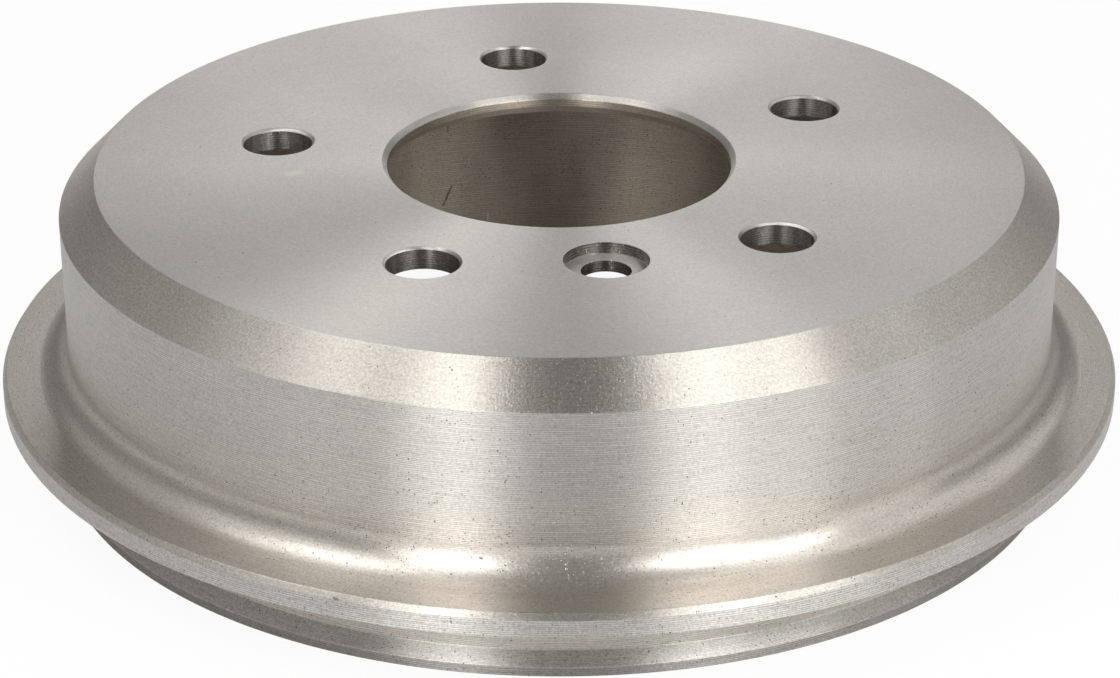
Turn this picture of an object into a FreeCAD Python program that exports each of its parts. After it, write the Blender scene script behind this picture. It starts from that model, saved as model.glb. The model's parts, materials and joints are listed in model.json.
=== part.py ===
import FreeCAD, Part
import math
import os
from enum import IntEnum
import Sketcher

# A brake drum, turned all over from one grey iron casting: a short cup with a flat web that the
# wheel bolts to, a rim round its wall, and below the rim a neck and a flared lip that run in the
# groove of the brake's back plate. It stands on its open end. The origin is the centre of that
# end, +Z is the axle line and points to the wheel, and -Y passes through the retaining screw.

# Sizes in millimetres and degrees
SIZES = (
    ("overall_height", 57.2, "open end to the face that meets the wheel"),
    ("friction_diameter", 180.0, "surface that the shoes press on"),
    ("wall_thickness", 7.0, "friction surface to the outside of the wall"),
    ("web_thickness", 4.4, "face that meets the wheel to the face that meets the hub"),
    ("web_corner_chamfer", 5.0, "inner corner between the web and the friction surface"),
    ("shoulder_chamfer", 7.0, "outer corner between the web and the wall"),
    ("mouth_chamfer", 1.2, "lead-in of the friction surface at the open end"),
    ("bore_diameter", 67.0, "pilot bore that sits on the hub's spigot"),
    ("bore_front_chamfer", 1.0, "edge of the bore on the wheel's side"),
    ("bore_back_chamfer", 1.9, "edge of the bore on the hub's side"),
    ("rim_projection", 13.0, "outside of the wall to the edge of the rim"),
    ("rim_top_height", 18.6, "open end to the top of the rim"),
    ("rim_thickness", 4.6, "top of the rim to its underside"),
    ("rim_sweep_radius", 6.0, "sweep of the wall into the top of the rim"),
    ("rim_bevel_width", 0.75, "bevel of the rim's edge, along its top"),
    ("rim_bevel_drop", 1.15, "bevel of the rim's edge, down its side"),
    ("neck_thickness", 7.4, "friction surface to the outside of the neck"),
    ("neck_root_chamfer", 0.8, "inner corner between the underside of the rim and the neck"),
    ("lip_projection", 2.0, "neck to the outside of the lip"),
    ("lip_band_height", 1.7, "straight outside of the lip, from the open end"),
    ("lip_flare_angle", 41.0, "flare from the neck to the lip, from the axle line"),
    ("flare_head_radius", 0.5, "hollow round between the neck and the flare"),
    ("flare_foot_radius", 0.5, "full round between the flare and the straight outside of the lip"),
    ("stud_count", 5, "wheel studs, with the retaining screw midway between two"),
    ("stud_circle_diameter", 112.0, "circle through the centres of the stud holes"),
    ("stud_hole_diameter", 13.5, "clearance hole of a wheel stud"),
    ("stud_hole_chamfer", 0.5, "edge of a stud hole on the wheel's side"),
    ("screw_circle_radius", 50.0, "axle line to the centre of the retaining screw"),
    ("screw_hole_diameter", 9.2, "clearance hole of the retaining screw"),
    ("screw_seat_diameter", 15.8, "flat seat for the head of that screw"),
    ("screw_seat_depth", 2.2, "face that meets the wheel to that seat"),
)

# Radii and heights of the section's corners, all worked out from the sheet
BORE = "Sizes.bore_diameter / 2"
FRICTION = "Sizes.friction_diameter / 2"
WALL = f"{FRICTION} + Sizes.wall_thickness"
RIM = f"{WALL} + Sizes.rim_projection"
NECK = f"{FRICTION} + Sizes.neck_thickness"
LIP = f"{NECK} + Sizes.lip_projection"
FRONT = "Sizes.overall_height"
BACK = f"{FRONT} - Sizes.web_thickness"
RIM_TOP = "Sizes.rim_top_height"
RIM_UNDER = f"{RIM_TOP} - Sizes.rim_thickness"
OPEN_END = "0"

# Half the section of the blank, from the bore over the outside to the friction surface: how each
# side runs, its radius or its height, and the round, if any, between it and the next side
SECTION = (
    ("Vertical", BORE, None),
    ("Horizontal", FRONT, None),
    ("Vertical", WALL, "Sizes.rim_sweep_radius"),
    ("Horizontal", RIM_TOP, None),
    ("Vertical", RIM, None),
    ("Horizontal", RIM_UNDER, None),
    ("Vertical", LIP, None),
    ("Horizontal", OPEN_END, None),
    ("Vertical", FRICTION, None),
    ("Horizontal", BACK, None),
)

# Corners of the section with a 45 degree chamfer: the radius and the height of each, and the size
# of the chamfer. The inner corners, under the web and under the rim, are filled by it.
EDGES = (
    ("Shoulder", WALL, FRONT, "Sizes.shoulder_chamfer"),
    ("WebCorner", FRICTION, BACK, "Sizes.web_corner_chamfer"),
    ("NeckRoot", NECK, RIM_UNDER, "Sizes.neck_root_chamfer"),
    ("BoreFront", BORE, FRONT, "Sizes.bore_front_chamfer"),
    ("BoreBack", BORE, BACK, "Sizes.bore_back_chamfer"),
    ("Mouth", FRICTION, OPEN_END, "Sizes.mouth_chamfer"),
)

HALF_PITCH = "180deg / Sizes.stud_count"
STUD_RADIUS = "Sizes.stud_circle_diameter / 2"


class Axis(IntEnum):
    """How a sketch numbers its own axes."""

    HORIZONTAL = -1
    VERTICAL = -2


class Point(IntEnum):
    """How a sketch numbers the points of a line, an arc or a circle. Its origin is the start of
    either axis."""

    START = 1
    END = 2
    CENTRE = 3


ORIGIN = (Axis.HORIZONTAL, Point.START)
UP = FreeCAD.Vector(0, 0, 1)
SAME = 1e-5


def sheet_of_sizes(doc):
    sheet = doc.addObject("Spreadsheet::Sheet", "Sizes")
    for row, (name, value, meaning) in enumerate(SIZES, start=1):
        sheet.set(f"A{row}", str(value))
        sheet.setAlias(f"A{row}", name)
        sheet.set(f"B{row}", meaning)
    doc.recompute()
    return sheet


def origin_feature(body, role):
    return next(item for item in body.Origin.OriginFeatures if item.Role == role)


def sketch_on(body, name, plane):
    sketch = body.newObject("Sketcher::SketchObject", name)
    sketch.AttachmentSupport = (origin_feature(body, plane), [""])
    sketch.MapMode = "FlatFace"
    return sketch


def value_of(item, expression):
    """What an expression over the sheet comes to, as a plain number."""
    return float(item.evalExpression(expression))


def bind(sketch, kind, points, expression):
    """A dimension of one curve, or between two points, that follows the sheet."""
    value = value_of(sketch, expression)
    constraint = sketch.addConstraint(Sketcher.Constraint(kind, *points, value))
    sketch.setExpression(f"Constraints[{constraint}]", expression)


def line(sketch, start, end):
    return sketch.addGeometry(Part.LineSegment(start, end), False)


def arc(sketch, centre, radius, first, last):
    circle = Part.Circle(centre, UP, radius)
    return sketch.addGeometry(Part.ArcOfCircle(circle, first, last), False)


def join(sketch, kind, first, first_point, second, second_point):
    """Two curves that meet end to end, with a corner or tangent to each other."""
    sketch.addConstraint(Sketcher.Constraint(kind, first, first_point, second, second_point))


def round_corner(sketch, first, second, radius):
    """A tangent arc where one line runs into the next."""
    near_first = sketch.Geometry[first].StartPoint
    near_second = sketch.Geometry[second].EndPoint
    sketch.fillet(first, second, near_first, near_second, value_of(sketch, radius), True, False)
    bind(sketch, "Radius", (sketch.GeometryCount - 1,), radius)


def turn_round(body, kind, name, sketch):
    """Turns a section once round the axle line, to add metal or to cut it away."""
    feature = body.newObject(f"PartDesign::{kind}", name)
    feature.Profile = sketch
    feature.ReferenceAxis = (sketch, ["V_Axis"])
    feature.Angle = 360
    sketch.Visibility = False
    body.Document.recompute()


def turned_blank(body):
    """The blank: the whole drum but for its neck, its broken edges and its drilled holes."""
    sketch = sketch_on(body, "Section", "XZ_Plane")
    levels = [value_of(sketch, level) for _, level, _ in SECTION]
    corners = []
    for index, (run, _, _) in enumerate(SECTION):
        here = levels[index]
        after = levels[(index + 1) % len(levels)]
        radius, height = (here, after) if run == "Vertical" else (after, here)
        corners.append(FreeCAD.Vector(radius, height, 0))
    sides = [line(sketch, corners[index - 1], corner) for index, corner in enumerate(corners)]
    for index, side in enumerate(sides):
        join(sketch, "Coincident", sides[index - 1], Point.END, side, Point.START)
    for side, (run, level, _) in zip(sides, SECTION):
        sketch.addConstraint(Sketcher.Constraint(run, side))
        if level == OPEN_END:
            sketch.addConstraint(Sketcher.Constraint("PointOnObject", side, Point.END, Axis.HORIZONTAL))
        else:
            distance = "DistanceX" if run == "Vertical" else "DistanceY"
            bind(sketch, distance, (*ORIGIN, side, Point.END), level)
    for index, (_, _, radius) in enumerate(SECTION):
        if radius:
            round_corner(sketch, sides[index], sides[index + 1], radius)
    turn_round(body, "Revolution", "Blank", sketch)


def neck_groove(body):
    """The groove under the rim. Its floor is the neck, and a flare between two tangent rounds, a
    hollow one at its head and a full one at its foot, leads from the neck out to the lip."""
    sketch = sketch_on(body, "NeckSection", "XZ_Plane")
    neck = value_of(sketch, NECK)
    lip = value_of(sketch, LIP)
    ceiling = value_of(sketch, RIM_UNDER)
    band = value_of(sketch, "Sizes.lip_band_height")
    head_radius = value_of(sketch, "Sizes.flare_head_radius")
    foot_radius = value_of(sketch, "Sizes.flare_foot_radius")
    flare = math.radians(value_of(sketch, "Sizes.lip_flare_angle"))
    outwards = FreeCAD.Vector(math.cos(flare), math.sin(flare), 0)
    uphill = FreeCAD.Vector(-math.sin(flare), math.cos(flare), 0)
    rounded_off = (head_radius + foot_radius) * (1 - math.cos(flare))
    length = (lip - neck - rounded_off) / math.sin(flare)
    foot_centre = FreeCAD.Vector(lip - foot_radius, band, 0)
    foot_end = foot_centre + outwards * foot_radius
    head_end = foot_end + uphill * length
    head_centre = head_end + outwards * head_radius
    inner_corner = FreeCAD.Vector(neck, ceiling, 0)
    outer_corner = FreeCAD.Vector(lip, ceiling, 0)

    under = line(sketch, outer_corner, inner_corner)
    floor = line(sketch, inner_corner, FreeCAD.Vector(neck, head_centre.y, 0))
    head = arc(sketch, head_centre, head_radius, math.pi, math.pi + flare)
    slope = line(sketch, head_end, foot_end)
    foot = arc(sketch, foot_centre, foot_radius, 0, flare)
    opening = line(sketch, FreeCAD.Vector(lip, band, 0), outer_corner)
    join(sketch, "Coincident", under, Point.END, floor, Point.START)
    join(sketch, "Tangent", floor, Point.END, head, Point.START)
    join(sketch, "Tangent", head, Point.END, slope, Point.START)
    join(sketch, "Tangent", slope, Point.END, foot, Point.END)
    join(sketch, "Tangent", foot, Point.START, opening, Point.START)
    join(sketch, "Coincident", opening, Point.END, under, Point.START)
    sketch.addConstraint(Sketcher.Constraint("Horizontal", under))
    sketch.addConstraint(Sketcher.Constraint("Vertical", floor))
    sketch.addConstraint(Sketcher.Constraint("Vertical", opening))
    bind(sketch, "DistanceX", (*ORIGIN, floor, Point.END), NECK)
    bind(sketch, "DistanceX", (*ORIGIN, opening, Point.START), LIP)
    bind(sketch, "DistanceY", (*ORIGIN, under, Point.START), RIM_UNDER)
    bind(sketch, "DistanceY", (*ORIGIN, opening, Point.START), "Sizes.lip_band_height")
    bind(sketch, "Radius", (head,), "Sizes.flare_head_radius")
    bind(sketch, "Radius", (foot,), "Sizes.flare_foot_radius")
    flare_lines = (Axis.VERTICAL, Point.START, slope, Point.END)
    bind(sketch, "Angle", flare_lines, "Sizes.lip_flare_angle * 1deg")
    turn_round(body, "Groove", "Neck", sketch)


def ring_edge(feature, radius, height):
    """The name of the edge that runs round the axle line at this radius and height."""
    centre = FreeCAD.Vector(0, 0, height)
    for index, edge in enumerate(feature.Shape.Edges, start=1):
        curve = edge.Curve
        if not isinstance(curve, Part.Circle) or not math.isclose(curve.Radius, radius, rel_tol=SAME):
            continue
        if curve.Center.isEqual(centre, SAME):
            return f"Edge{index}"
    raise RuntimeError(f"no edge at radius {radius:.3f} and height {height:.3f}")


def chamfered(body, name, radius, height, size):
    """A 45 degree chamfer on one turned edge."""
    base = body.Tip
    edge = ring_edge(base, value_of(base, radius), value_of(base, height))
    chamfer = body.newObject("PartDesign::Chamfer", name)
    chamfer.Base = (base, [edge])
    chamfer.setExpression("Size", size)
    body.Document.recompute()
    return chamfer


def bevelled_rim(body):
    """The bevel of the rim's edge is steeper than the other chamfers, so it has two sizes."""
    bevel = chamfered(body, "RimBevel", RIM, RIM_TOP, "Sizes.rim_bevel_drop")
    bevel.ChamferType = "Two distances"
    bevel.setExpression("Size2", "Sizes.rim_bevel_width")
    body.Document.recompute()
    top_edge = value_of(body, f"{RIM} - Sizes.rim_bevel_width")
    ring_edge(bevel, top_edge, value_of(body, RIM_TOP))


def drill(body, name, sideways, towards_screw, diameter):
    """A hole drilled from the wheel's side, at a place measured from the axle line."""
    doc = body.Document
    sketch = sketch_on(body, f"{name}Centre", "XY_Plane")
    sketch.setExpression(".AttachmentOffset.Base.z", FRONT)
    x = value_of(sketch, sideways) if sideways else 0.0
    centre = FreeCAD.Vector(x, -value_of(sketch, towards_screw), 0)
    outline = Part.Circle(centre, UP, value_of(sketch, diameter) / 2)
    circle = sketch.addGeometry(outline, False)
    if sideways:
        bind(sketch, "DistanceX", (*ORIGIN, circle, Point.CENTRE), sideways)
    else:
        sketch.addConstraint(Sketcher.Constraint("PointOnObject", circle, Point.CENTRE, Axis.VERTICAL))
    bind(sketch, "DistanceY", (circle, Point.CENTRE, *ORIGIN), towards_screw)
    bind(sketch, "Diameter", (circle,), diameter)
    hole = body.newObject("PartDesign::Hole", name)
    hole.Profile = sketch
    sketch.Visibility = False
    doc.recompute()
    hole.ThreadType = "None"
    hole.DepthType = "ThroughAll"
    hole.setExpression("Diameter", diameter)
    return hole


def stud_holes(body):
    """One hole half a pitch from the retaining screw, and the others round the axle line."""
    sideways = f"{STUD_RADIUS} * sin({HALF_PITCH})"
    towards_screw = f"{STUD_RADIUS} * cos({HALF_PITCH})"
    hole = drill(body, "StudHole", sideways, towards_screw, "Sizes.stud_hole_diameter")
    hole.HoleCutType = "Countersink"
    hole.HoleCutCountersinkAngle = 90
    hole.setExpression("HoleCutDiameter", "Sizes.stud_hole_diameter + 2 * Sizes.stud_hole_chamfer")
    body.Document.recompute()
    pattern = body.newObject("PartDesign::PolarPattern", "StudHoles")
    pattern.Originals = [hole]
    pattern.Axis = (origin_feature(body, "Z_Axis"), [""])
    pattern.Angle = 360
    pattern.setExpression("Occurrences", "Sizes.stud_count")
    body.Tip = pattern
    body.Document.recompute()


def screw_hole(body):
    """The retaining screw's hole, with a flat seat that sinks its head below the wheel's face."""
    hole = drill(body, "ScrewHole", None, "Sizes.screw_circle_radius", "Sizes.screw_hole_diameter")
    hole.HoleCutType = "Counterbore"
    hole.setExpression("HoleCutDiameter", "Sizes.screw_seat_diameter")
    hole.setExpression("HoleCutDepth", "Sizes.screw_seat_depth")
    body.Document.recompute()


def cuts(body, operation):
    """Runs an operation that takes metal away, and makes sure that it took some."""
    before = body.Shape.Volume
    operation(body)
    if body.Shape.Volume >= before:
        raise RuntimeError(f"{operation.__name__} cut nothing")


def brake_drum(doc):
    body = doc.addObject("PartDesign::Body", "BrakeDrum")
    body.Label = "brake_drum"
    turned_blank(body)
    cuts(body, neck_groove)
    for edge in EDGES:
        chamfered(body, *edge)
    cuts(body, bevelled_rim)
    cuts(body, stud_holes)
    cuts(body, screw_hole)
    body.Placement = FreeCAD.Placement()
    return body


def check(doc, parts):
    for item in doc.Objects:
        if "Invalid" in item.State or "Error" in item.State:
            raise RuntimeError(f"{item.Name} did not build: {item.State}")
    for part in parts:
        if part.Shape.isNull() or not part.Shape.isValid():
            raise RuntimeError(f"{part.Label} has no sound shape")


def main():
    doc = FreeCAD.newDocument("BrakeDrumModel")
    sheet_of_sizes(doc)
    parts = [brake_drum(doc)]
    doc.recompute()
    check(doc, parts)
    os.makedirs("parts", exist_ok=True)
    for part in parts:
        part.Shape.exportStep(f"parts/{part.Label}.step")
        box = part.Shape.optimalBoundingBox()
        print(
            f"{part.Label}: {len(part.Shape.Solids)} solid, {part.Shape.Volume / 1000:.1f} cm3, "
            f"{box.XLength:.2f} x {box.YLength:.2f} x {box.ZLength:.2f} mm"
        )


main()
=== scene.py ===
# %% [markdown]
# # A brake drum, from turned sections to bare iron
#
# A brake drum is a short iron cup. A foundry pours it, a lathe turns it all over, and a drill
# makes the holes for the wheel's studs. The drum here stands on its open end on a white table.
#
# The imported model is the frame: it fixes where everything is and how large it is. This file
# gives that drum its looks, in metres and in the same coordinates. +Z is the axle line, and -Y
# passes through the hole of the retaining screw.

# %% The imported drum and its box
import json
from math import cos, pi, radians, sin, tan, tau

import bmesh
import bpy
from mathutils import Matrix, Vector


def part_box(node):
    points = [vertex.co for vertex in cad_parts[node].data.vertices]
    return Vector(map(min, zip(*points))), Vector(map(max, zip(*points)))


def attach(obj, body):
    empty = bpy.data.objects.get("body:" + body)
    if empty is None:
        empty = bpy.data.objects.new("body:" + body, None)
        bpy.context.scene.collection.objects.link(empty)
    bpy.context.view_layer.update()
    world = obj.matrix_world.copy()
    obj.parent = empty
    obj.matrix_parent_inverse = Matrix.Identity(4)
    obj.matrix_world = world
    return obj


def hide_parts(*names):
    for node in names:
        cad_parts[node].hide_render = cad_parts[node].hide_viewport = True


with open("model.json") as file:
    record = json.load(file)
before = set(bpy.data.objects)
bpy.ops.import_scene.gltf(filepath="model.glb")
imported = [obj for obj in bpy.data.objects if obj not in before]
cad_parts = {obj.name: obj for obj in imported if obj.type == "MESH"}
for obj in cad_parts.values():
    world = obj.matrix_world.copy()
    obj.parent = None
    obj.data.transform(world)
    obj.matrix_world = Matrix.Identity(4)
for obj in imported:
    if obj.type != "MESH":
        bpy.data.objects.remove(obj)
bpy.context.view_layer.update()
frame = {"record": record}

MM = 0.001
lowest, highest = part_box("brake_drum")
print("The drum measures", [round(side / MM, 2) for side in highest - lowest], "mm")

# %% [markdown]
# ## The sizes of the section
#
# A lathe makes whatever its tool's path says, so one half of the section describes the whole
# drum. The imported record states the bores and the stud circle, and the box gives the height and
# the rim. The other sizes are the ones that the solid was turned to.

# %% Radii and heights
mounts = {mount["name"]: mount for mount in frame["record"]["mounts"]}


def stated(mount, size):
    """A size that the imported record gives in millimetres, in metres."""
    return mounts[mount]["dims"][size] * MM


FACE = highest.z
RIM = highest.x
BORE = stated("pilot_bore", "r_mm")
FRICTION = stated("friction_surface", "r_mm")
WALL = FRICTION + 7 * MM
WEB_UNDER = FACE - 4.4 * MM
WEB_CORNER = 5 * MM
SHOULDER = 7 * MM
BORE_FRONT = 1.0 * MM
BORE_BACK = 1.9 * MM
MOUTH = 1.2 * MM
RIM_TOP = 18.6 * MM
RIM_UNDER = RIM_TOP - 4.6 * MM
RIM_BEVEL_WIDTH = 0.75 * MM
RIM_BEVEL_DROP = 1.15 * MM
SWEEP = 6 * MM
NECK_ROOT = 0.8 * MM
NECK = FRICTION + 7.4 * MM
LIP = NECK + 2 * MM
LIP_BAND = 1.7 * MM
LIP_ROUND = 0.5 * MM
LIP_FLARE = radians(41)
print("Wall radius", round(WALL / MM, 2), "mm, lip radius", round(LIP / MM, 2), "mm")

# %% [markdown]
# ## From a section to a turned piece
#
# Three small helpers do the lathe's work. `wire` joins corner points into a bent line.
# `round_corners` replaces chosen corners by arcs: a vertex bevel of a corner between two lines
# is exactly such an arc. `turn` spins the line once round the axle. One could model the rounds
# after spinning, but on the flat section it takes two points and one number.
#
# No machined edge is truly sharp. A round of a tenth of a millimetre is enough to catch the
# light as a thin line, as the edges of the real drum do.

# %% Wire, rounds and spin
EDGE_ROUND = 0.12 * MM
TURN_STEPS = 384
FACED, TURNED, TORN, SWEPT, EDGED, SHADED_BAND, DRILLED, SUNK, SHADED_BROWN = range(9)


def wire(bm, corners):
    """A line through (radius, height) corners, drawn in the XZ plane."""
    points = [bm.verts.new((radius, 0, height)) for radius, height in corners]
    for start, end in zip(points, points[1:]):
        bm.edges.new((start, end))
    return points


def round_corners(bm, corners, setback, segments):
    """Turns corners into arcs that start this far from each corner."""
    bmesh.ops.bevel(
        bm, geom=corners, offset=setback, offset_type="OFFSET", segments=segments, profile=0.5,
        affect="VERTICES", clamp_overlap=True, material=-1,
    )


def turn(bm, steps, centre=(0, 0, 0), material=TURNED):
    """Spins every loose line once round the vertical line through centre."""
    lines = [edge for edge in bm.edges if edge.is_wire]
    points = {point for edge in lines for point in edge.verts}
    before = set(bm.faces)
    bmesh.ops.spin(
        bm, geom=lines + list(points), cent=centre, axis=(0, 0, 1), dvec=(0, 0, 0), angle=tau,
        steps=steps, use_merge=True,
    )
    faces = [face for face in bm.faces if face not in before]
    for face in faces:
        face.material_index = material
    return faces


# %% [markdown]
# ## The bore and the drilled holes
#
# The pilot bore, the five stud holes and the screw's hole are turned or drilled, so each is a
# short line that spins round its own middle. Each line also carries a narrow flat ring at the
# top and at the underside, and those rings are what the web's flat faces will meet. The stud
# circle and both hole radii come from the imported record. The screw's hole has a wider flat
# seat, which sinks the head of the screw. Flats and the chamfers on the wheel's side are cut as
# cleanly as the web. The walls of the holes have the drill's lines and grain, with a darker tint
# that is painted shade in the holes, and the chamfer behind the bore is as brown and dark as its
# wall, which is painted shade too. How far a face's normal points up tells flats and chamfers
# from walls.
#
# These small pieces are spun before the long section, because a spin in a mesh that is already
# large takes much longer.

# %% Bore, stud holes and screw hole
drum = bmesh.new()
FLAT = 1 * MM
STUD_CHAMFER = 0.5 * MM
SEAT = 7.9 * MM
SEAT_DEPTH = 2.2 * MM
HOLE_FLAT = 0.35 * MM
HOLE_ROUND = 0.06 * MM
BORE_STEPS = 256
HOLE_STEPS = 72
FLAT_OR_CHAMFER = 0.7
FLAT_ONLY = 0.95
stud_hole = stated("stud_holes", "hole_r_mm")
stud_circle = stated("stud_holes", "pcd_mm") / 2
stud_count = mounts["stud_holes"]["dims"]["count"]
screw_hole = stated("retaining_screw_hole", "r_mm")
screw_place = Vector(mounts["retaining_screw_hole"]["pos_m"])


def hole(bm, x, y, profile, edge_round, steps, material):
    """A hole through the web: its profile holds (radius, height) corners from top to bottom."""
    corners = wire(bm, profile)
    round_corners(bm, corners[1:-1], edge_round, segments=2)
    here = {point for edge in bm.edges if edge.is_wire for point in edge.verts}
    bmesh.ops.translate(bm, verts=list(here), vec=(x, y, 0))
    for face in turn(bm, steps, centre=(x, y, 0), material=material):
        face.normal_update()
        upper_half = face.calc_center_median().z > (FACE + WEB_UNDER) / 2
        if abs(face.normal.z) > (FLAT_OR_CHAMFER if upper_half else FLAT_ONLY):
            face.material_index = FACED


hole(drum, 0, 0, (
    (BORE + BORE_FRONT + FLAT, FACE),
    (BORE + BORE_FRONT, FACE),
    (BORE, FACE - BORE_FRONT),
    (BORE, WEB_UNDER + BORE_BACK),
    (BORE + BORE_BACK, WEB_UNDER),
    (BORE + BORE_BACK + FLAT, WEB_UNDER),
), EDGE_ROUND, BORE_STEPS, SHADED_BROWN)

STUD_PROFILE = (
    (stud_hole + STUD_CHAMFER + HOLE_FLAT, FACE),
    (stud_hole + STUD_CHAMFER, FACE),
    (stud_hole, FACE - STUD_CHAMFER),
    (stud_hole, WEB_UNDER),
    (stud_hole + HOLE_FLAT, WEB_UNDER),
)
screw_angle = screw_place.xy.angle_signed(Vector((1, 0)))
for number in range(stud_count):
    angle = screw_angle + tau * (number + 0.5) / stud_count
    x = stud_circle * cos(angle)
    y = stud_circle * sin(angle)
    hole(drum, x, y, STUD_PROFILE, HOLE_ROUND, HOLE_STEPS, DRILLED)
    print("Stud hole", number + 1, "at", round(x / MM, 1), round(y / MM, 1), "mm")

hole(drum, screw_place.x, screw_place.y, (
    (SEAT + HOLE_FLAT, FACE),
    (SEAT, FACE),
    (SEAT, FACE - SEAT_DEPTH),
    (screw_hole, FACE - SEAT_DEPTH),
    (screw_hole, WEB_UNDER),
    (screw_hole + HOLE_FLAT, WEB_UNDER),
), HOLE_ROUND, HOLE_STEPS, SUNK)

# %% [markdown]
# ## The outside, the mouth and the friction surface
#
# One line runs from the face that meets the wheel over the shoulder, down the wall, out along
# the rim, back under it to the neck, out over the flared lip, and up inside along the friction
# surface to the underside of the web. It starts and ends 1 mm into the flat faces, so that
# their corners can be rounded too. The flare lies between two tangent rounds. A round of radius
# r on a corner that turns by an angle a starts r * tan(a / 2) from that corner.

# %% The long section
FLARE_SETBACK = LIP_ROUND * (1 - cos(LIP_FLARE)) / sin(LIP_FLARE)
FLARE_HEIGHT = (LIP - NECK) * cos(LIP_FLARE) / sin(LIP_FLARE)
FLARE_FOOT = LIP_BAND + FLARE_SETBACK

outside = wire(drum, (
    (WALL - SHOULDER - FLAT, FACE),
    (WALL - SHOULDER, FACE),
    (WALL, FACE - SHOULDER),
    (WALL, RIM_TOP),
    (RIM - RIM_BEVEL_WIDTH, RIM_TOP),
    (RIM, RIM_TOP - RIM_BEVEL_DROP),
    (RIM, RIM_UNDER),
    (NECK, RIM_UNDER),
    (NECK, FLARE_FOOT + FLARE_HEIGHT),
    (LIP, FLARE_FOOT),
    (LIP, 0),
    (FRICTION + MOUTH, 0),
    (FRICTION, MOUTH),
    (FRICTION, WEB_UNDER - WEB_CORNER),
    (FRICTION - WEB_CORNER, WEB_UNDER),
    (FRICTION - WEB_CORNER - FLAT, WEB_UNDER),
))
sweep_corner = outside[3]
neck_corner = outside[7]
flare_corners = outside[8:10]
inner_corners = outside[13:15]
edges = [outside[place] for place in (1, 2, 4, 5, 6, 10, 11, 12)]
round_corners(drum, [sweep_corner], SWEEP, segments=18)
round_corners(drum, [neck_corner], NECK_ROOT, segments=1)
round_corners(drum, flare_corners, FLARE_SETBACK, segments=5)
round_corners(drum, inner_corners, 2 * EDGE_ROUND, segments=3)
round_corners(drum, edges, EDGE_ROUND, segments=3)
turned_faces = turn(drum, TURN_STEPS)
print("The long section makes", len(turned_faces), "faces")

# %% [markdown]
# ## Nine finishes on one piece
#
# The drum is one piece of iron, but each cut left it different. The web was faced with a fine
# feed and is the smoothest. The wall and the neck show clear lines. On the shoulder the tool
# tore the grain, so that it looks warmer and glitters; the glitter is partly raised flecks and
# partly painted glints. The sweep and the top of the rim are as warm, but shinier. The edge of the
# rim and the flare have the strongest lines. The straight band of the lip has them too, and its
# darker tint is painted shade: the dark of the shaded table under the rim, which it reflects. The
# stud holes are drilled, and the screw's hole has coarser lines and grain than they have; the
# walls of both have darker tints, which are painted shade in the holes. The bore and the friction
# surface are browner and darker, which is painted shade inside them. The holes got their finish
# when they were spun. One function sorts the faces of the long section by their place, so there
# is no painting by hand.

# %% Sort the faces by finish
def finish(middle):
    """The finish at the middle of a face of the long section."""
    radius = middle.xy.length
    height = middle.z
    # Inside the drum, below the web, the iron is browner and darker: painted shade.
    if radius < FRICTION + MOUTH / 2:
        return SHADED_BROWN if height < WEB_UNDER - EDGE_ROUND else FACED
    if height > FACE - EDGE_ROUND / 4:
        return FACED
    if height > FACE - SHOULDER:
        return TORN
    if height > RIM_TOP + SWEEP:
        return TURNED
    if height > RIM_UNDER + EDGE_ROUND:
        if radius > RIM - RIM_BEVEL_WIDTH - EDGE_ROUND:
            return EDGED if radius > RIM - EDGE_ROUND / 2 else TORN
        return SWEPT
    # The straight band of the lip is darker: painted shade.
    if height < LIP_BAND:
        return SHADED_BAND
    return TURNED if height > FLARE_FOOT + FLARE_HEIGHT and radius < LIP else EDGED


for face in turned_faces:
    face.material_index = finish(face.calc_center_median())

# %% [markdown]
# ## The web's two flat faces
#
# What is still open are two flat regions, each bounded by a large ring, the bore's ring and six
# small rings. `triangle_fill` closes such a region and leaves the holes open. After that the
# whole skin has no open edge, which is worth a check.

# %% Fill the web
for height in (FACE, WEB_UNDER):
    rings = [
        edge for edge in drum.edges
        if edge.is_boundary and all(abs(point.co.z - height) < EDGE_ROUND / 10 for point in edge.verts)
    ]
    bmesh.ops.triangle_fill(drum, edges=rings, use_beauty=True, use_dissolve=False, normal=(0, 0, 1))
bmesh.ops.recalc_face_normals(drum, faces=drum.faces)
open_edges = [edge for edge in drum.edges if not edge.is_manifold]
print("Open edges:", len(open_edges), "and volume", round(drum.calc_volume() * 1e6, 1), "cm3")

# %% [markdown]
# ## Smooth shading that stays flat where the iron is flat
#
# Smooth shading averages the directions of the faces round a point, which would bend the light
# on the flat web beside its narrow rounds. Weighted normals let the large faces win, so flats
# and cylinders stay true and only the rounds turn. The modifier's result is kept in the mesh.

# %% The drum object
mesh = bpy.data.meshes.new("brake_drum_skin")
drum.to_mesh(mesh)
drum.free()
mesh.shade_smooth()
draft = bpy.data.objects.new("draft", mesh)
bpy.context.scene.collection.objects.link(draft)
weighted = draft.modifiers.new("flat_stays_flat", "WEIGHTED_NORMAL")
weighted.weight = 100
weighted.thresh = 0.01
finished = bpy.data.meshes.new_from_object(draft.evaluated_get(bpy.context.evaluated_depsgraph_get()))
bpy.data.objects.remove(draft)
skin = bpy.data.objects.new("turned_drum", finished)
bpy.context.scene.collection.objects.link(skin)
finished.calc_loop_triangles()
print("The skin has", len(finished.loop_triangles), "triangles")

# %% [markdown]
# ## A short way to write materials
#
# A material is a graph of nodes. `put` adds one node and fills its inputs, either with a value
# or with a link from another node. `group` starts a node group: a small graph with named
# inputs and outputs, made once and used with other values in each material.

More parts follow.
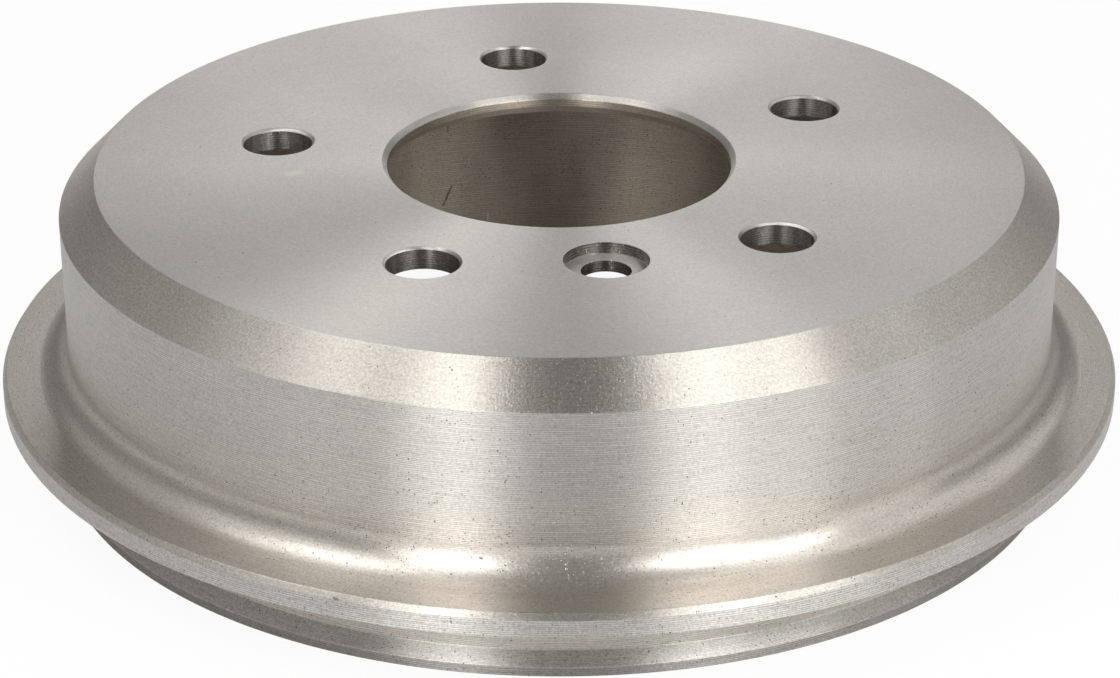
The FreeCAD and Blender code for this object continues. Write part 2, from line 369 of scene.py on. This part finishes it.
# %% Helpers for node graphs
def put(tree, kind, inputs=None, **settings):
    """Adds a node. Its inputs are given by name or number, as values or as sockets."""
    node = tree.nodes.new(kind)
    for name, value in settings.items():
        setattr(node, name, value)
    for name, value in (inputs or {}).items():
        if isinstance(value, bpy.types.NodeSocket):
            tree.links.new(value, node.inputs[name])
        else:
            node.inputs[name].default_value = value
    return node


def math(tree, operation, *values):
    """A Math node. Returns its output."""
    return put(tree, "ShaderNodeMath", dict(enumerate(values)), operation=operation).outputs[0]


def group(name, inputs, outputs):
    """A new node group, with its input and output nodes."""
    tree = bpy.data.node_groups.new(name, "ShaderNodeTree")
    for title, kind in inputs.items():
        tree.interface.new_socket(title, in_out="INPUT", socket_type=f"NodeSocket{kind}")
    for title, kind in outputs.items():
        tree.interface.new_socket(title, in_out="OUTPUT", socket_type=f"NodeSocket{kind}")
    return tree, put(tree, "NodeGroupInput"), put(tree, "NodeGroupOutput")


def use(tree, shared, inputs):
    """Places a shared group in a material."""
    return put(tree, "ShaderNodeGroup", inputs, node_tree=shared)


# %% [markdown]
# ## Where on the drum is this point?
#
# Every mark of the lathe runs round the axle. So the groups below don't want x, y and z but
# the direction round the axle and the feed, the way that the tool has gone along the section.
# Radius minus most of the height is a good feed: it changes along flats, walls and slopes alike.
# A drill only goes down, so in the drilled holes Outwards is 0 and the feed is the height alone.

# %% Group: turned place
FEED_SLOPE = -0.8
place_tree, place_in, place_out = group(
    "turned_place", {"Vector": "Vector", "Outwards": "Float"}, {"Around": "Vector", "Feed": "Float"}
)
axes = put(place_tree, "ShaderNodeSeparateXYZ", {0: place_in.outputs["Vector"]})
flat = put(place_tree, "ShaderNodeCombineXYZ", {"X": axes.outputs["X"], "Y": axes.outputs["Y"]})
around = put(place_tree, "ShaderNodeVectorMath", {0: flat.outputs[0]}, operation="NORMALIZE")
reach = put(place_tree, "ShaderNodeVectorMath", {0: flat.outputs[0]}, operation="LENGTH")
outward_feed = math(place_tree, "MULTIPLY", reach.outputs["Value"], place_in.outputs["Outwards"])
feed = math(place_tree, "MULTIPLY_ADD", axes.outputs["Z"], FEED_SLOPE, outward_feed)
place_tree.links.new(around.outputs["Vector"], place_out.inputs["Around"])
place_tree.links.new(feed, place_out.inputs["Feed"])

# %% [markdown]
# ## Turning lines
#
# A lathe leaves a fine, nearly regular groove, and the iron tears a little, so that the lines
# fade in and out along the way. A sine along the feed gives the groove. Noise that is stretched
# round the axle lets it wander and fade: it is read at the direction times a small number, and
# at the feed divided by a pitch.

# %% Group: turning lines
LINE_WANDER = 1.5
GROOVE_SHARE = 0.45
TORN_SHARE = 0.25
DRIFT_PITCHES = 9.0
DRIFT_ARCS = 2.0
GROOVE_FADED = 0.35
GROOVE_CLEAR = 0.65


def arc_noise(tree, around, feed, tightness, pitch, detail):
    """Noise that is slow along the way round the axle and quick along the feed."""
    way = put(tree, "ShaderNodeVectorMath", {0: around, "Scale": tightness}, operation="SCALE")
    step = put(tree, "ShaderNodeCombineXYZ", {"Z": math(tree, "DIVIDE", feed, pitch)})
    read_at = put(tree, "ShaderNodeVectorMath", {0: way.outputs["Vector"], 1: step.outputs["Vector"]})
    return put(tree, "ShaderNodeTexNoise", {
        "Vector": read_at.outputs["Vector"], "Scale": 1.0, "Detail": detail,
    }).outputs["Fac"]


lines_tree, lines_in, lines_out = group(
    "turning_lines", {"Around": "Vector", "Feed": "Float", "Pitch": "Float", "Arcs": "Float"},
    {"Height": "Float"},
)
line_place = [lines_in.outputs[title] for title in ("Around", "Feed")]
broad_pitch = math(lines_tree, "MULTIPLY", lines_in.outputs["Pitch"], DRIFT_PITCHES)
torn = arc_noise(lines_tree, *line_place, lines_in.outputs["Arcs"], lines_in.outputs["Pitch"], 2.0)
drift = arc_noise(lines_tree, *line_place, DRIFT_ARCS, broad_pitch, 0.0)
grooves_passed = math(lines_tree, "DIVIDE", lines_in.outputs["Feed"], lines_in.outputs["Pitch"])
phase = math(lines_tree, "MULTIPLY_ADD", drift, LINE_WANDER, grooves_passed)
groove = math(lines_tree, "SINE", math(lines_tree, "MULTIPLY", phase, tau))
clear = put(lines_tree, "ShaderNodeMapRange", {
    "Value": torn, "From Min": GROOVE_FADED, "From Max": GROOVE_CLEAR,
})
faded = math(lines_tree, "MULTIPLY", groove, clear.outputs["Result"])
line_height = math(lines_tree, "MULTIPLY_ADD", torn, TORN_SHARE, 0.5 - 0.5 * TORN_SHARE)
line_height = math(lines_tree, "MULTIPLY_ADD", faded, GROOVE_SHARE, line_height)
lines_tree.links.new(line_height, lines_out.inputs["Height"])

# %% [markdown]
# ## Graphite pits and bright flecks
#
# Grey iron holds flakes of graphite. Where the tool cuts through one, a dark pit is left, less
# than half a millimetre wide. Where it tears the grain, a tiny facet stands up, and its flash is
# also painted, as a light spot in the colour. Both are round spots, one to a Voronoi cell: the
# cell's random colour says whether it holds a spot, and how large that is.

# %% Group: round spots
SPOT_SHARPNESS = 9.0
SMALLEST_SPOT = 0.4
spots_tree, spots_in, spots_out = group(
    "round_spots", {"Vector": "Vector", "Cells": "Float", "Share": "Float", "Radius": "Float"},
    {"Mask": "Float"},
)
cells = put(spots_tree, "ShaderNodeTexVoronoi", {
    "Vector": spots_in.outputs["Vector"], "Scale": spots_in.outputs["Cells"], "Randomness": 1.0,
})
chance = put(spots_tree, "ShaderNodeSeparateColor", {"Color": cells.outputs["Color"]})
holds_one = math(spots_tree, "LESS_THAN", chance.outputs["Red"], spots_in.outputs["Share"])
spot_size = math(spots_tree, "MULTIPLY_ADD", chance.outputs["Green"], 1 - SMALLEST_SPOT, SMALLEST_SPOT)
largest = math(spots_tree, "MULTIPLY", spots_in.outputs["Radius"], spots_in.outputs["Cells"])
spot_radius = math(spots_tree, "MULTIPLY", largest, spot_size)
within = math(spots_tree, "SUBTRACT", spot_radius, cells.outputs["Distance"])
spot = put(spots_tree, "ShaderNodeClamp", {
    "Value": math(spots_tree, "MULTIPLY", within, SPOT_SHARPNESS),
})
spot_mask = math(spots_tree, "MULTIPLY", spot.outputs["Result"], holds_one)
spots_tree.links.new(spot_mask, spots_out.inputs["Mask"])

# %% [markdown]
# The pits aren't spread evenly. A slow noise gathers them in some areas, and the lower half of
# the wall has more of them than the web.

# %% Group: graphite pits
AREA_CELLS = 110.0
AREA_EMPTY = 0.35
AREA_FULL = 0.7
FEW_PITS_HEIGHT = 45 * MM
MANY_PITS_HEIGHT = 22 * MM
FEW_PITS = 0.35
SMALL_PITS = {"Cells": 2200.0, "Radius": 0.16 * MM}
LARGE_PITS = {"Cells": 900.0, "Radius": 0.24 * MM}
LARGE_PIT_SHARE = 0.3

pits_tree, pits_in, pits_out = group(
    "graphite_pits", {"Vector": "Vector", "Share": "Float"}, {"Mask": "Float"}
)
pit_place = pits_in.outputs["Vector"]
pit_area = put(pits_tree, "ShaderNodeTexNoise", {"Vector": pit_place, "Scale": AREA_CELLS, "Detail": 2.0})
gathered = put(pits_tree, "ShaderNodeMapRange", {
    "Value": pit_area.outputs["Fac"], "From Min": AREA_EMPTY, "From Max": AREA_FULL,
})
pit_height = put(pits_tree, "ShaderNodeSeparateXYZ", {"Vector": pit_place})
low_down = put(pits_tree, "ShaderNodeMapRange", {
    "Value": pit_height.outputs["Z"], "From Min": FEW_PITS_HEIGHT, "From Max": MANY_PITS_HEIGHT,
    "To Min": FEW_PITS, "To Max": 1.0,
})
local_share = math(pits_tree, "MULTIPLY", gathered.outputs["Result"], low_down.outputs["Result"])
local_share = math(pits_tree, "MULTIPLY", local_share, pits_in.outputs["Share"])
large_share = math(pits_tree, "MULTIPLY", local_share, LARGE_PIT_SHARE)
small_pits = use(pits_tree, spots_tree, {"Vector": pit_place, "Share": local_share, **SMALL_PITS})
large_pits = use(pits_tree, spots_tree, {"Vector": pit_place, "Share": large_share, **LARGE_PITS})
all_pits = math(pits_tree, "MAXIMUM", small_pits.outputs["Mask"], large_pits.outputs["Mask"])
pits_tree.links.new(all_pits, pits_out.inputs["Mask"])

# %% [markdown]
# ## Marks of handling
#
# This drum has a few marks of its own: nicks on the rim and the lip, specks and a pale blotch
# on the web. Each is a short streak between two points, with a radius, all in millimetres, and
# noise makes its outline ragged. A speck starts and ends at the same point.

# %% Group: streak
STREAK_CORE = 0.2


def vector_math(tree, operation, first, second):
    """A Vector Math node with two vectors. Returns the node."""
    return put(tree, "ShaderNodeVectorMath", {0: first, 1: second}, operation=operation)


streak_tree, streak_in, streak_out = group(
    "streak", {"Vector": "Vector", "Start": "Vector", "End": "Vector", "Radius": "Float"},
    {"Mask": "Float"},
)
start_of_streak = streak_in.outputs["Start"]
run = vector_math(streak_tree, "SUBTRACT", streak_in.outputs["End"], start_of_streak).outputs["Vector"]
point = streak_in.outputs["Vector"]
here = vector_math(streak_tree, "SUBTRACT", point, start_of_streak).outputs["Vector"]
run_squared = vector_math(streak_tree, "DOT_PRODUCT", run, run).outputs["Value"]
gone = vector_math(streak_tree, "DOT_PRODUCT", here, run).outputs["Value"]
gone_share = put(streak_tree, "ShaderNodeClamp", {
    "Value": math(streak_tree, "DIVIDE", gone, run_squared),
})
nearest = put(streak_tree, "ShaderNodeVectorMath", {
    0: run, "Scale": gone_share.outputs[0],
}, operation="SCALE").outputs["Vector"]
away = vector_math(streak_tree, "DISTANCE", here, nearest).outputs["Value"]
inside = put(streak_tree, "ShaderNodeMapRange", {
    "Value": away, "From Min": streak_in.outputs["Radius"],
    "From Max": math(streak_tree, "MULTIPLY", streak_in.outputs["Radius"], STREAK_CORE),
})
streak_tree.links.new(inside.outputs["Result"], streak_out.inputs["Mask"])

# %% [markdown]
# Each finish that has marks gets a group with its own marks only, so that no other finish has to
# work them out. A row below holds what a mark is, where it starts, where it ends, and its radius.

# %% Where the marks are
MARKS = {
    "web_marks": {
        "Pale": (
            ("blotch", (-52.6, 0.2, 57.2), (-50.8, 1.0, 57.2), 1.5),
            ("speck by the bore", (-45.3, -13.5, 57.2), (-45.3, -13.5, 57.2), 0.3),
        ),
        "Dark": (
            ("speck at the left", (-68.4, 17.1, 57.2), (-68.4, 17.1, 57.2), 0.3),
            ("speck further front", (-73.2, -38.3, 57.2), (-73.2, -38.3, 57.2), 0.3),
            ("speck beside it", (-69.6, -45.6, 57.2), (-69.6, -45.6, 57.2), 0.25),
        ),
    },
    "shoulder_and_bevel_marks": {
        "Pale": (
            ("tick on the shoulder", (-73.2, -61.4, 51.7), (-72.8, -61.8, 51.7), 0.25),
            ("tick on its upper edge", (-58.9, -68.2, 57.1), (-58.5, -68.6, 57.1), 0.25),
        ),
        "Dark": (
            ("nick on the rim's bevel", (-55.6, -94.7, 17.8), (-53.9, -95.8, 17.2), 0.34),
        ),
    },
    "sweep_marks": {
        "Dark": (
            ("speck", (-9.2, -97.0, 22.4), (-9.2, -97.0, 22.4), 0.3),
            ("speck at the left", (-29.6, -92.9, 22.1), (-29.6, -92.9, 22.1), 0.3),
        ),
    },
    "lip_marks": {
        "Dark": (
            ("nick", (-75.6, -64.6, 2.0), (-74.7, -65.6, 1.5), 0.36),
        ),
    },
    "friction_marks": {
        "Pale": (
            ("tick", (-0.8, 90.0, 6.9), (-0.8, 90.0, 5.9), 0.3),
        ),
        "Dark": (
            ("nick", (-9.7, 89.5, 29.2), (-9.7, 89.5, 28.0), 0.3),
            ("scratch below it", (-9.0, 89.6, 14.8), (-9.7, 89.5, 13.2), 0.2),
            ("its second part", (-9.9, 89.4, 13.0), (-10.3, 89.4, 11.7), 0.3),
            ("its end", (-10.7, 89.3, 11.2), (-11.1, 89.3, 10.4), 0.2),
        ),
    },
}

# %% Groups: handling marks
RAGGED = 0.4 * MM
RAGGED_CELLS = 1800.0


def marks_group(name, masks):
    """A group with one mask for the pale marks and one for the dark marks of a finish."""
    tree, inputs, outputs = group(name, {"Vector": "Vector"}, {title: "Float" for title in masks})
    place = inputs.outputs["Vector"]
    noise = put(tree, "ShaderNodeTexNoise", {"Vector": place, "Scale": RAGGED_CELLS, "Detail": 1.0})
    shaken = put(tree, "ShaderNodeVectorMath", {
        0: noise.outputs["Color"], 1: (RAGGED, RAGGED, RAGGED), 2: place,
    }, operation="MULTIPLY_ADD")
    half = (RAGGED / 2, RAGGED / 2, RAGGED / 2)
    centred = vector_math(tree, "SUBTRACT", shaken.outputs["Vector"], half).outputs["Vector"]
    for title, marks in masks.items():
        mask = 0.0
        for _, first, last, radius in marks:
            streak = use(tree, streak_tree, {
                "Vector": centred, "Start": Vector(first) * MM, "End": Vector(last) * MM,
                "Radius": radius * MM,
            })
            mask = math(tree, "MAXIMUM", mask, streak.outputs["Mask"])
        tree.links.new(mask, outputs.inputs[title])
    return tree


mark_trees = {name: marks_group(name, masks) for name, masks in MARKS.items()}

# %% [markdown]
# Towards the rim the wall takes on the warm tint and the shine of the sweep. The change is
# gradual, over about a centimetre.

# %% Group: near the rim
WALL_FOOT = RIM_TOP + SWEEP
TINT_CHANGE = 11 * MM
rim_tree, rim_in, rim_out = group("near_the_rim", {"Vector": "Vector"}, {"Mask": "Float"})
wall_height = put(rim_tree, "ShaderNodeSeparateXYZ", {"Vector": rim_in.outputs["Vector"]})
nearness = put(rim_tree, "ShaderNodeMapRange", {
    "Value": wall_height.outputs["Z"], "From Min": WALL_FOOT + TINT_CHANGE, "From Max": WALL_FOOT,
})
rim_tree.links.new(nearness.outputs["Result"], rim_out.inputs["Mask"])

# %% [markdown]
# ## The iron itself
#
# Bare iron is a metal: it has no paint, so Metallic is 1 and the colour is the tint of its
# reflection. Each cut surface reflects a little more here and a little less there, so the tone
# runs between a dark and a light shade of one tint.

# %% Tints and small helpers
NEUTRAL_IRON = (0.597, 0.577, 0.543)
WARM_IRON = (0.612, 0.572, 0.520)
# Painted shade: the bore and the friction surface are browner and darker than the outside, for the shade
# inside them.
SHADED_BROWN_IRON = (0.53, 0.46, 0.38)
# Painted shade: the band of the lip is darker, for the shaded table under the rim that it reflects.
SHADED_BAND_IRON = (0.41, 0.395, 0.37)
# Painted shade: the walls of the stud holes are darker, for the shade in the holes.
SHADED_HOLE_IRON = (0.29, 0.275, 0.255)
# Painted shade: the walls of the screw's hole are darker still, for the shade in that hole.
SHADED_SEAT_IRON = (0.19, 0.18, 0.165)
DARK_SHADE = 0.73
LIGHT_SHADE = 1.32
GRAPHITE = (0.13, 0.115, 0.10, 1)
# Painted glint: a fleck is lighter in the colour, so that it flashes like a facet.
GLINT_FLECK = (0.88, 0.83, 0.75, 1)
MARK_COLOURS = {"Pale": (0.74, 0.66, 0.585, 1), "Dark": (0.25, 0.225, 0.20, 1)}


def shade(tint, factor):
    """A tint made darker or lighter, with full opacity."""
    return (*[part * factor for part in tint], 1)


def blend(tree, factor, first, second):
    """Mixes two colours. Returns the mixed colour."""
    mix = put(tree, "ShaderNodeMix", {"Factor": factor, 6: first, 7: second}, data_type="RGBA")
    return mix.outputs[2]


def raised(tree, height, depth, before=None):
    """Bump of this depth in metres, on top of the bump before it."""
    inputs = {"Height": height, "Distance": depth}
    if before:
        inputs["Normal"] = before
    return put(tree, "ShaderNodeBump", inputs).outputs["Normal"]


# %% [markdown]
# One function makes every iron. Grain, lines and slow patches each have a share in the tone.
# Flecks, pits and marks lie over it, and the same lines, grain, flecks and pits also shape the
# surface. A fleck stands up a little and is also a painted glint in the colour, and a pit or a
# dark mark goes down.
#
# The turning lines all run round the axle, so a reflection is drawn out across them, down a wall
# or out along a face. Anisotropic does that, and a rotation of a quarter turn points it across
# the lines. It serves the holes too: on any upright wall the tangent that it starts from lies
# level along the wall, as the marks of a drill do.

# %% One bare iron
LINE_ARCS = 14.0
GRAIN_CELLS = 2300.0
FLECKS = {"Cells": 3000.0, "Radius": 0.12 * MM}
FLECK_HEIGHT = 0.15
PIT_DEPTH = 0.04 * MM
ACROSS_THE_LINES = 0.25


def iron(
    name, tint, grain, lines, pitch, pits, flecks, line_depth, grain_depth, roughness=0.40,
    stretch=1.0, patch_cells=28.0, patch_share=0.35, upright=1.0, outwards=1.0, rim_tint=None,
    rim_shine=0.0, marks=None,
):
    """Bare cut iron. Grain, lines and patches are shares of the tone. Pits and flecks are the
    shares of the cells that hold one. A low value of upright draws the patches out upwards. With
    a rim tint, tint and roughness change towards the rim."""
    material = bpy.data.materials.new(name)
    material.use_nodes = True
    tree = material.node_tree
    shader = tree.nodes["Principled BSDF"]
    place = put(tree, "ShaderNodeTexCoord").outputs["Object"]
    turned = use(tree, place_tree, {"Vector": place, "Outwards": outwards})
    fine_lines = use(tree, lines_tree, {
        "Around": turned.outputs["Around"], "Feed": turned.outputs["Feed"], "Pitch": pitch,
        "Arcs": LINE_ARCS,
    }).outputs["Height"]
    grains = put(tree, "ShaderNodeTexNoise", {
        "Vector": place, "Scale": GRAIN_CELLS, "Detail": 3.0,
    }).outputs["Fac"]
    drawn_out = vector_math(tree, "MULTIPLY", place, (1, 1, upright))
    patches = put(tree, "ShaderNodeTexNoise", {
        "Vector": drawn_out.outputs["Vector"], "Scale": patch_cells, "Detail": 3.0,
    }).outputs["Fac"]

    tone = math(tree, "MULTIPLY_ADD", grains, grain, 0.5 - 0.5 * (grain + lines + patch_share))
    tone = math(tree, "MULTIPLY_ADD", fine_lines, lines, tone)
    tone = math(tree, "MULTIPLY_ADD", patches, patch_share, tone)
    colour = blend(tree, tone, shade(tint, DARK_SHADE), shade(tint, LIGHT_SHADE))
    if rim_tint:
        near_rim = use(tree, rim_tree, {"Vector": place}).outputs["Mask"]
        rim_colour = blend(tree, tone, shade(rim_tint, DARK_SHADE), shade(rim_tint, LIGHT_SHADE))
        colour = blend(tree, near_rim, colour, rim_colour)

    pit_mask = use(tree, pits_tree, {"Vector": place, "Share": pits}).outputs["Mask"]
    fleck_mask = use(tree, spots_tree, {"Vector": place, "Share": flecks, **FLECKS}).outputs["Mask"]
    colour = blend(tree, fleck_mask, colour, GLINT_FLECK)
    colour = blend(tree, pit_mask, colour, GRAPHITE)
    sunk = pit_mask
    if marks:
        marked = use(tree, mark_trees[marks], {"Vector": place})
        for title in MARKS[marks]:
            colour = blend(tree, marked.outputs[title], colour, MARK_COLOURS[title])
        sunk = math(tree, "MAXIMUM", pit_mask, marked.outputs["Dark"])
    tree.links.new(colour, shader.inputs["Base Color"])

    normal = raised(tree, fine_lines, line_depth)
    normal = raised(tree, grains, grain_depth, normal)
    relief = math(tree, "SUBTRACT", math(tree, "MULTIPLY", fleck_mask, FLECK_HEIGHT), sunk)
    normal = raised(tree, relief, PIT_DEPTH, normal)
    tree.links.new(normal, shader.inputs["Normal"])
    shader.inputs["Metallic"].default_value = 1.0
    shader.inputs["Roughness"].default_value = roughness
    if rim_tint:
        shinier = math(tree, "MULTIPLY_ADD", near_rim, -rim_shine, roughness)
        tree.links.new(shinier, shader.inputs["Roughness"])
    shader.inputs["Anisotropic"].default_value = stretch
    shader.inputs["Anisotropic Rotation"].default_value = ACROSS_THE_LINES
    return material


# %% [markdown]
# Each finish is that iron with its own numbers. The faces hold the number of their finish, so
# the materials go into the mesh in the order of those numbers. The count of faces shows that
# every finish is in use.

# %% The nine irons
FINISHES = {
    FACED: iron(
        "faced_iron", NEUTRAL_IRON, grain=0.8, lines=0.4, pitch=0.30 * MM, pits=0.06, flecks=0.01,
        line_depth=0.003 * MM, grain_depth=0.008 * MM, roughness=0.43, stretch=0.9,
        marks="web_marks",
    ),
    TURNED: iron(
        "turned_iron", NEUTRAL_IRON, grain=1.3, lines=1.3, pitch=0.30 * MM, pits=0.6, flecks=0.03,
        line_depth=0.007 * MM, grain_depth=0.014 * MM, rim_tint=WARM_IRON, rim_shine=0.06,
    ),
    TORN: iron(
        "torn_iron", WARM_IRON, grain=1.5, lines=0.9, pitch=0.30 * MM, pits=0.3, flecks=0.6,
        line_depth=0.006 * MM, grain_depth=0.018 * MM, marks="shoulder_and_bevel_marks",
    ),
    SWEPT: iron(
        "swept_iron", WARM_IRON, grain=1.3, lines=0.9, pitch=0.30 * MM, pits=0.5, flecks=0.12,
        line_depth=0.006 * MM, grain_depth=0.014 * MM, roughness=0.33, stretch=0.84,
        marks="sweep_marks",
    ),
    EDGED: iron(
        "edged_iron", NEUTRAL_IRON, grain=1.9, lines=1.4, pitch=0.33 * MM, pits=0.5, flecks=0.05,
        line_depth=0.009 * MM, grain_depth=0.018 * MM,
    ),
    # The band of the lip: the same lines as the edge, and a dark tint that is painted shade.
    SHADED_BAND: iron(
        "shaded_band_iron", SHADED_BAND_IRON, grain=1.9, lines=1.4, pitch=0.33 * MM, pits=0.5, flecks=0.03,
        line_depth=0.009 * MM, grain_depth=0.018 * MM, marks="lip_marks",
    ),
    # The stud holes: drill lines and grain, and a darker tint that is painted shade.
    DRILLED: iron(
        "drilled_and_shaded_iron", SHADED_HOLE_IRON, grain=2.4, lines=2.0, pitch=0.40 * MM, pits=0.2, flecks=0.2,
        line_depth=0.014 * MM, grain_depth=0.016 * MM, roughness=0.42, stretch=0.9,
        patch_cells=700.0, patch_share=3.0, upright=0.12, outwards=0.0,
    ),
    # The screw's hole: coarser lines and grain, and a darker tint that is painted shade.
    SUNK: iron(
        "sunk_and_shaded_iron", SHADED_SEAT_IRON, grain=3.0, lines=3.0, pitch=0.40 * MM, pits=0.2, flecks=0.4,
        line_depth=0.016 * MM, grain_depth=0.030 * MM, roughness=0.42, stretch=0.9,
        patch_cells=300.0, patch_share=1.5, upright=0.3, outwards=0.0,
    ),
    # The bore and the friction surface: a browner, darker tint that is painted shade.
    SHADED_BROWN: iron(
        "shaded_brown_iron", SHADED_BROWN_IRON, grain=1.3, lines=1.3, pitch=0.34 * MM, pits=0.5, flecks=0.0,
        line_depth=0.007 * MM, grain_depth=0.010 * MM, roughness=0.42, stretch=0.9,
        patch_cells=90.0, patch_share=1.5, upright=0.35, marks="friction_marks",
    ),
}

# %% The drum's materials and its place in the frame
for place_in_list in sorted(FINISHES):
    finished.materials.append(FINISHES[place_in_list])
for number, material in enumerate(finished.materials):
    count = sum(face.material_index == number for face in finished.polygons)
    print(material.name, "has", count, "faces")
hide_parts("brake_drum")
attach(skin, "root")

# %% [markdown]
# ## The camera
#
# The camera's place follows from the ellipses in the photograph: how flat they are gives its
# height, and how much nearer the front looks than the back gives its distance. The drum is
# turned a little, so that the screw's hole lies right of the middle. Instead of turning the
# drum, the camera and the lamps go round it.

# %% Camera
STUDIO_TURN = radians(-9.85)
CAMERA_REACH = 0.5751
CAMERA_HEIGHT = 0.2916
CAMERA_DROP = radians(25.45)
CAMERA_SIDE = 0.00017


def studio(azimuth, elevation, distance):
    """A place in the studio. Azimuth 0 is where the camera stands, and to its right is positive."""
    level = distance * cos(elevation)
    place = Vector((level * sin(azimuth), -level * cos(azimuth), distance * sin(elevation)))
    return Matrix.Rotation(STUDIO_TURN, 3, "Z") @ place


camera_data = bpy.data.cameras.new("camera")
camera_data.sensor_width = 36
camera_data.lens = 102.3
camera = bpy.data.objects.new("camera", camera_data)
camera_place = Vector((CAMERA_SIDE, -CAMERA_REACH, CAMERA_HEIGHT))
camera.location = Matrix.Rotation(STUDIO_TURN, 3, "Z") @ camera_place
camera.rotation_euler = (pi / 2 - CAMERA_DROP, 0, STUDIO_TURN)
bpy.context.scene.collection.objects.link(camera)
bpy.context.scene.camera = camera

# %% [markdown]
# ## The table
#
# The drum stands on a plain white table. A wide flat disc is enough. Paper reflects nine tenths
# of the light, which is a pale grey in a picture, while a photographer lets the table go fully
# white. Light Path tells how a surface is looked at: where the camera or a reflection looks
# straight at the table, it is mostly a glow of strength 1, which is plain white. The light
# that the table sends to the drum stays that of paper, and the drum keeps a soft shadow.
#
# Lamps light only the middle of a real table, and it is dark inside the drum and under its rim.
# So the glow that reflections see is a ring round the drum, which fades inwards and outwards. The
# ring's radii are in metres.

# %% Table
TABLE_RADIUS = 4
TABLE_WHITE = (0.94, 0.94, 0.94, 1)
TABLE_GLOW = 0.93
MIRRORED_GLOW = 0.7
RING_INNER_EDGE = 0.11
RING_FULL_FROM = 0.2
RING_FULL_TO = 0.25
RING_OUTER_EDGE = 0.6
table_shape = bmesh.new()
bmesh.ops.create_circle(table_shape, cap_ends=True, segments=64, radius=TABLE_RADIUS)
table_mesh = bpy.data.meshes.new("table")
table_shape.to_mesh(table_mesh)
table_shape.free()
table = bpy.data.objects.new("table", table_mesh)
bpy.context.scene.collection.objects.link(table)
white = bpy.data.materials.new("white_table")
white.use_nodes = True
table_nodes = white.node_tree
paper = table_nodes.nodes["Principled BSDF"]
paper.inputs["Base Color"].default_value = TABLE_WHITE
paper.inputs["Roughness"].default_value = 0.9
on_table = put(table_nodes, "ShaderNodeTexCoord").outputs["Object"]
from_axle = put(table_nodes, "ShaderNodeVectorMath", {0: on_table}, operation="LENGTH").outputs["Value"]
far_fade = put(table_nodes, "ShaderNodeMapRange", {
    "Value": from_axle, "From Min": RING_OUTER_EDGE, "From Max": RING_FULL_TO,
})
near_fade = put(table_nodes, "ShaderNodeMapRange", {
    "Value": from_axle, "From Min": RING_INNER_EDGE, "From Max": RING_FULL_FROM,
})
lit = math(table_nodes, "MULTIPLY", far_fade.outputs["Result"], near_fade.outputs["Result"])
ring_glow = math(table_nodes, "MULTIPLY", lit, MIRRORED_GLOW)
ray = put(table_nodes, "ShaderNodeLightPath").outputs
mirrored = math(table_nodes, "MAXIMUM", ray["Is Glossy Ray"], ray["Is Transmission Ray"])
mirrored = math(table_nodes, "MULTIPLY", mirrored, ring_glow)
looked_at = math(table_nodes, "MULTIPLY", ray["Is Camera Ray"], TABLE_GLOW)
glow = put(table_nodes, "ShaderNodeEmission", {"Color": (1, 1, 1, 1), "Strength": 1.0})
mixed = put(table_nodes, "ShaderNodeMixShader", {
    "Fac": math(table_nodes, "MAXIMUM", looked_at, mirrored), 1: paper.outputs["BSDF"],
    2: glow.outputs["Emission"],
})
table_nodes.links.new(mixed.outputs["Shader"], table_nodes.nodes["Material Output"].inputs["Surface"])
table_mesh.materials.append(white)

# %% [markdown]
# ## Soft light
#
# Polished metal shows what is around it, so a studio for it is a ring of large soft lamps, with
# a gap where the camera stands. The bright bands on the drum tell where the lamps are: the
# strips at the left and the right of the camera make the bands down the wall, and the lamps
# above them light the flat web. Each lamp is given as the drum sees it: its direction, its width
# and height as angles, and its radiance, which is how bright its face looks. A radiance of 1 is
# as bright as white paper in plain light.

# %% A soft lamp
LAMP_REACH = 0.85


def softbox(name, azimuth, elevation, wide, tall, radiance):
    """A rectangular lamp that faces the drum. All its angles are in degrees."""
    width = 2 * LAMP_REACH * tan(radians(wide) / 2)
    height = 2 * LAMP_REACH * tan(radians(tall) / 2)
    lamp = bpy.data.lights.new(name, "AREA")
    lamp.shape = "RECTANGLE"
    lamp.size = width
    lamp.size_y = height
    lamp.energy = radiance * pi * width * height
    holder = bpy.data.objects.new(name, lamp)
    holder.location = studio(radians(azimuth), radians(elevation), LAMP_REACH)
    holder.rotation_euler = holder.location.to_track_quat("Z", "Y").to_euler()
    holder.visible_camera = False
    bpy.context.scene.collection.objects.link(holder)


# %% Lamps and the room
ROOM_GLOW = 0.2
LAMPS = (
    # name, azimuth, elevation, width, height, radiance
    ("left_strip", -25, 32, 14, 40, 3.16),
    ("left_inner", -18, 30, 10, 30, 2.52),
    ("left_foot", -14, 8, 14, 16, 0.81),
    ("left_low", -35, 8, 20, 14, 0.17),
    ("left_top", -60, 63, 26, 16, 2.01),
    ("left_high_side", -95, 63, 34, 16, 2.45),
    ("left_side", -70, 42, 36, 26, 0.6),
    ("left_far_side", -115, 38, 44, 30, 0.3),
    ("right_strip", 28, 30, 18, 40, 1.93),
    ("right_box", 42, 36, 30, 22, 4.42),
    ("right_low_side", 68, 14, 30, 20, 0.88),
    ("right_side", 75, 40, 36, 26, 0.46),
    ("right_high_side", 95, 63, 34, 16, 1.28),
    ("right_far_side", 120, 36, 50, 30, 0.63),
    ("back_foot", 180, 18, 26, 18, 1.29),
    ("back", 180, 36, 22, 18, 0.88),
)
for lamp in LAMPS:
    softbox(*lamp)

world = bpy.data.worlds.new("room")
bpy.context.scene.world = world
world.use_nodes = True
room = world.node_tree.nodes["Background"]
room.inputs["Color"].default_value = (1, 1, 1, 1)
room.inputs["Strength"].default_value = ROOM_GLOW
bpy.context.scene.view_settings.view_transform = "Standard"
